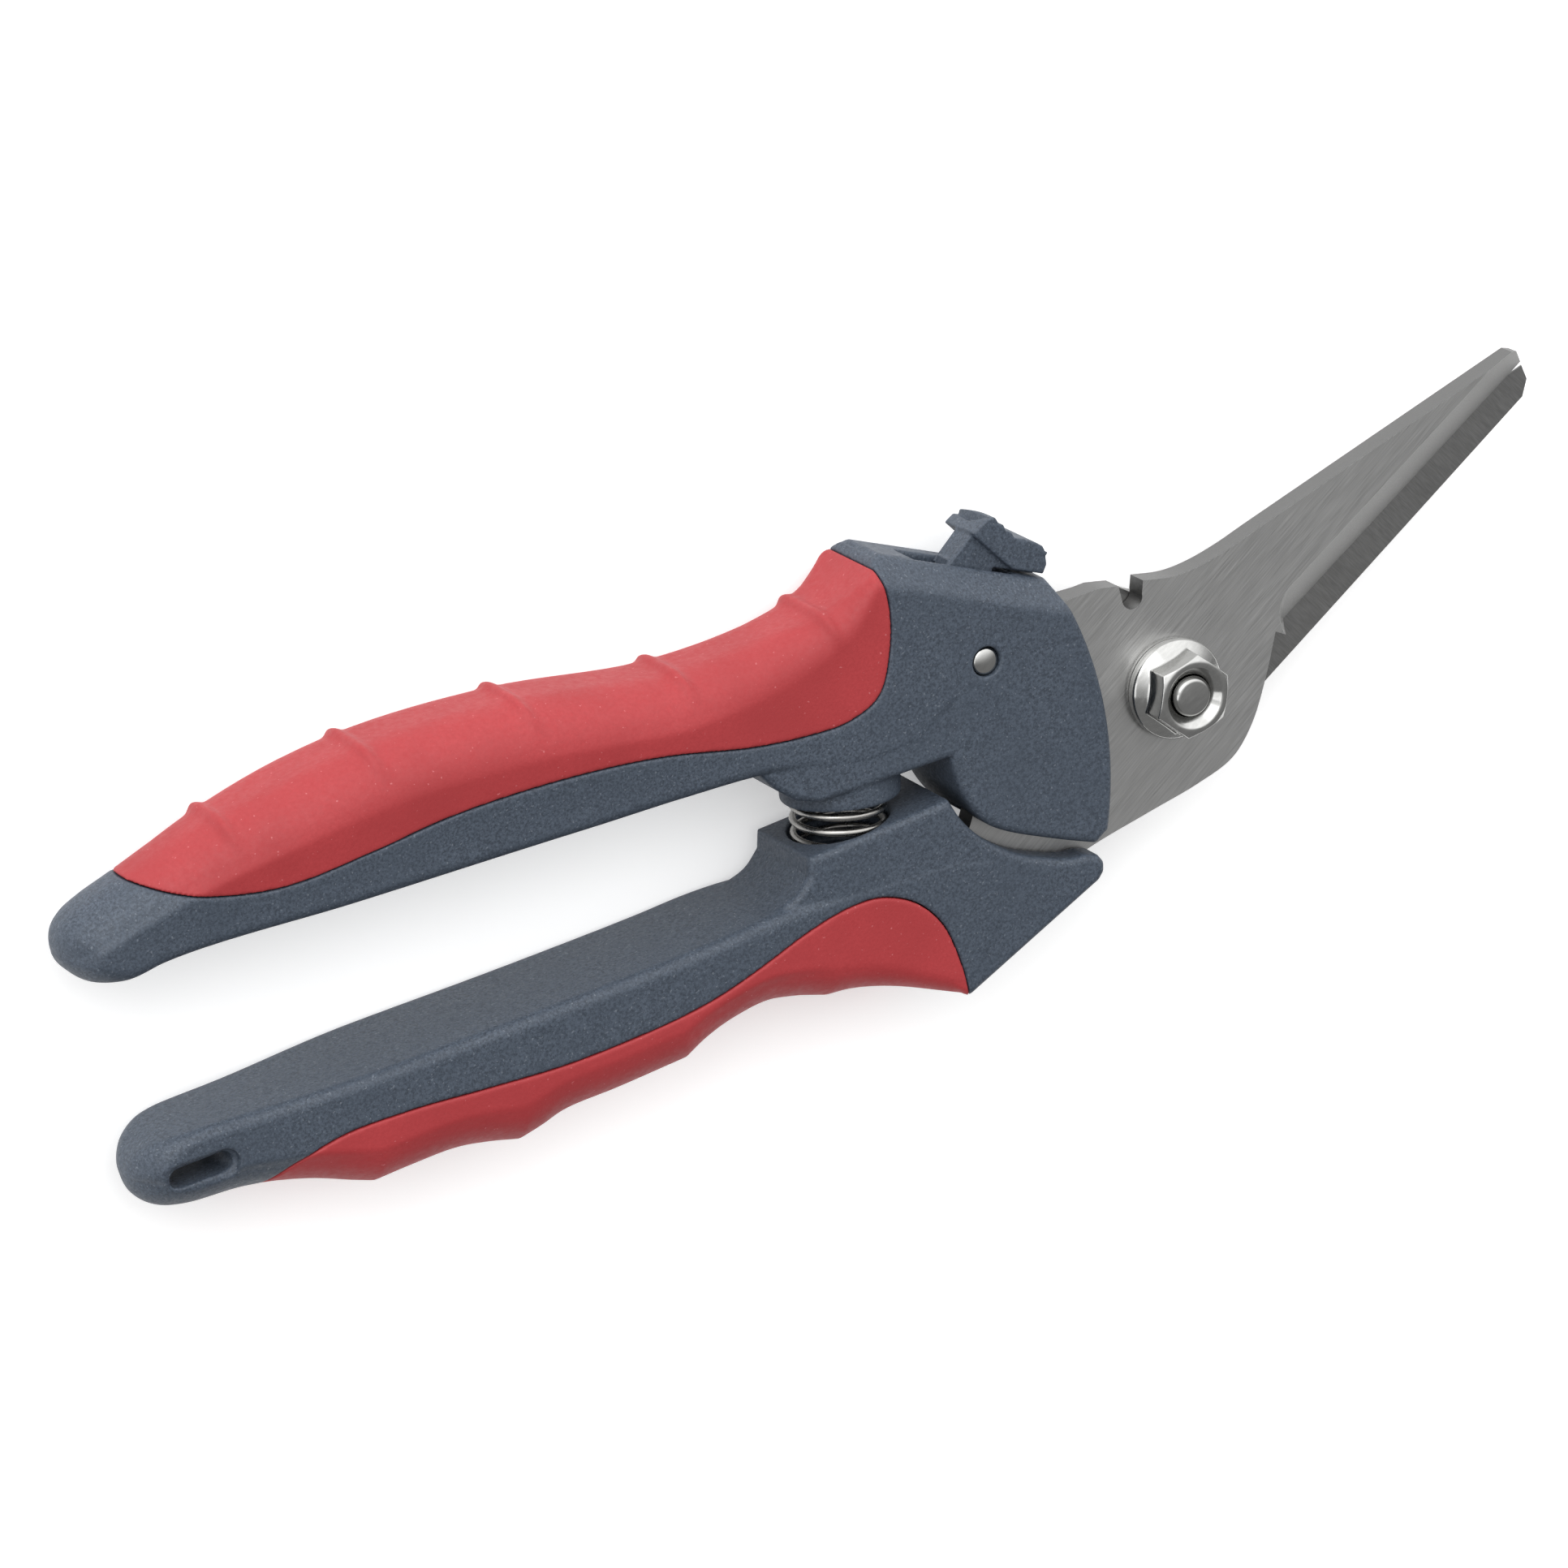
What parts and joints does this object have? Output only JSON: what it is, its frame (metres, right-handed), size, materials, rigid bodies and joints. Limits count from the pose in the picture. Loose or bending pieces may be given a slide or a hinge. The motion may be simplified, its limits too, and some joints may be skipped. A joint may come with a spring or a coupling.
{
  "type": "pruning shears",
  "caption": "Hand snips with straight narrow blades, two-tone moulded handles, a coil return spring, a thumb lock and a hexagon pivot nut.",
  "frame": {"origin": "centre of the bounding box's bottom face, with the tool lying on its back", "axes": "+X from the handle tails to the blade tips, +Y towards the upper handle, +Z along the pivot axis towards the nut"},
  "size_m": [0.195, 0.0592, 0.017],
  "materials": {
    "nylon": "fine grained matte",
    "soft_grip": "soft matte",
    "blade_steel": "fine ground",
    "bright_steel": "polished",
    "spring_steel": "bright drawn wire",
    "bronze": "turned"
  },
  "bodies": {
    "upper": {"upper_handle_core": "nylon", "upper_grip": "soft_grip", "back_blade": "blade_steel", "pivot_bolt": "bright_steel", "pivot_nut": "bright_steel", "nut_washer": "spring_steel", "bolt_washer": "spring_steel", "lock_pin": "bright_steel", "lock_spring": "spring_steel"},
    "lower": {"lower_handle_core": "nylon", "lower_grip": "soft_grip", "front_blade": "blade_steel", "pivot_bush": "bronze", "return_spring": "spring_steel"},
    "lock": {"lock_lever": "nylon"}
  },
  "joints": [
    {"name": "open_close", "type": "hinge", "parent": "upper", "child": "lower", "pos_m": [0.041, -0.006, 0.0085], "axis": [0, 0, 1], "range_deg": [0, 26], "deforming": ["return_spring"]},
    {"name": "lock_swing", "type": "hinge", "parent": "upper", "child": "lock", "pos_m": [0.0171, 0.0085, 0.0101], "axis": [0, 0, 1], "range_deg": [0, 14]}
  ]
}
